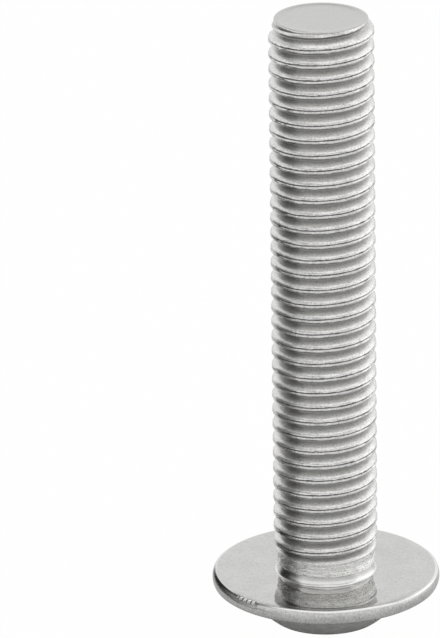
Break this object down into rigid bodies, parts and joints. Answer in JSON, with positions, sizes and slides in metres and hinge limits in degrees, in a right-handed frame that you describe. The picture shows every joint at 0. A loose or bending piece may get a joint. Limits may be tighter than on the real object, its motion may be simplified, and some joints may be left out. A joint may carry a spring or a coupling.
{
  "type": "flanged button head screw",
  "caption": "Stainless steel screw with a low domed head on a wide round collar, a six-lobe drive socket and a metric thread along the whole shank; clamps sheet and fittings without a washer.",
  "frame": {"origin": "centre of the flat crown that the screw stands on, at the mouth of the socket", "axes": "+Z along the shank, from the crown to the tip; +X through the tip of one lobe of the socket"},
  "size_m": [0.0256, 0.0256, 0.0711],
  "materials": {
    "steel": "bright stainless steel, satin on the forged faces and shinier on the rolled thread"
  },
  "bodies": {
    "root": {"screw": "steel"}
  },
  "joints": []
}
